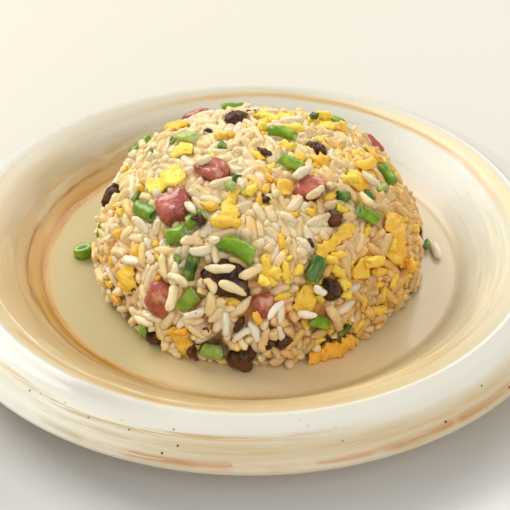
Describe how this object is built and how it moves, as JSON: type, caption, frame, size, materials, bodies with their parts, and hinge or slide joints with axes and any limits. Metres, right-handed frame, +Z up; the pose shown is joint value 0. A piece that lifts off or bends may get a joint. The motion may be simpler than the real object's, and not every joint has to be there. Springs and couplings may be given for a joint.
{
  "type": "plate of fried rice",
  "caption": "Mound of fried rice with ham, mushroom, egg and spring onion on a deep brushed-glaze stoneware plate with a rolled rim.",
  "frame": {"origin": "centre of the foot ring's underside, on the table", "axes": "+Z up along the plate's axis; -Y towards the side that is seen in front; +X to its right"},
  "size_m": [0.248, 0.248, 0.069],
  "materials": {
    "plate_glaze": "glossy cream glaze with tan and amber brushed rings and small iron speckles",
    "rice": "cooked long-grain rice, lightly oiled, cream to tan",
    "ham": "cured ham, moist, red-brown",
    "mushroom": "soaked dark mushroom, moist, purple-brown",
    "egg": "fried egg flakes, soft, yellow",
    "spring_onion": "cooked spring onion, wet green"
  },
  "bodies": {
    "root": {"plate": "plate_glaze", "rice_mound": "rice", "ham_01": "ham", "ham_02": "ham", "ham_03": "ham", "ham_04": "ham", "ham_05": "ham", "ham_06": "ham", "ham_07": "ham", "mushroom_01": "mushroom", "mushroom_02": "mushroom", "mushroom_03": "mushroom", "mushroom_04": "mushroom", "mushroom_05": "mushroom", "mushroom_06": "mushroom", "mushroom_07": "mushroom", "mushroom_08": "mushroom", "mushroom_09": "mushroom", "mushroom_10": "mushroom", "egg_01": "egg", "egg_02": "egg", "egg_03": "egg", "egg_04": "egg", "egg_05": "egg", "egg_06": "egg", "egg_07": "egg", "egg_08": "egg", "egg_09": "egg", "egg_10": "egg", "egg_11": "egg", "egg_12": "egg", "egg_13": "egg", "egg_14": "egg", "egg_15": "egg", "egg_16": "egg", "egg_17": "egg", "egg_18": "egg", "egg_19": "egg", "spring_onion_01": "spring_onion", "spring_onion_02": "spring_onion", "spring_onion_03": "spring_onion", "spring_onion_04": "spring_onion", "spring_onion_05": "spring_onion", "spring_onion_06": "spring_onion", "spring_onion_07": "spring_onion", "spring_onion_08": "spring_onion", "spring_onion_09": "spring_onion", "spring_onion_10": "spring_onion", "spring_onion_11": "spring_onion", "spring_onion_12": "spring_onion", "spring_onion_13": "spring_onion", "spring_onion_14": "spring_onion", "spring_onion_15": "spring_onion", "spring_onion_16": "spring_onion", "spring_onion_17": "spring_onion", "spring_onion_18": "spring_onion", "spring_onion_loose": "spring_onion"}
  },
  "joints": []
}
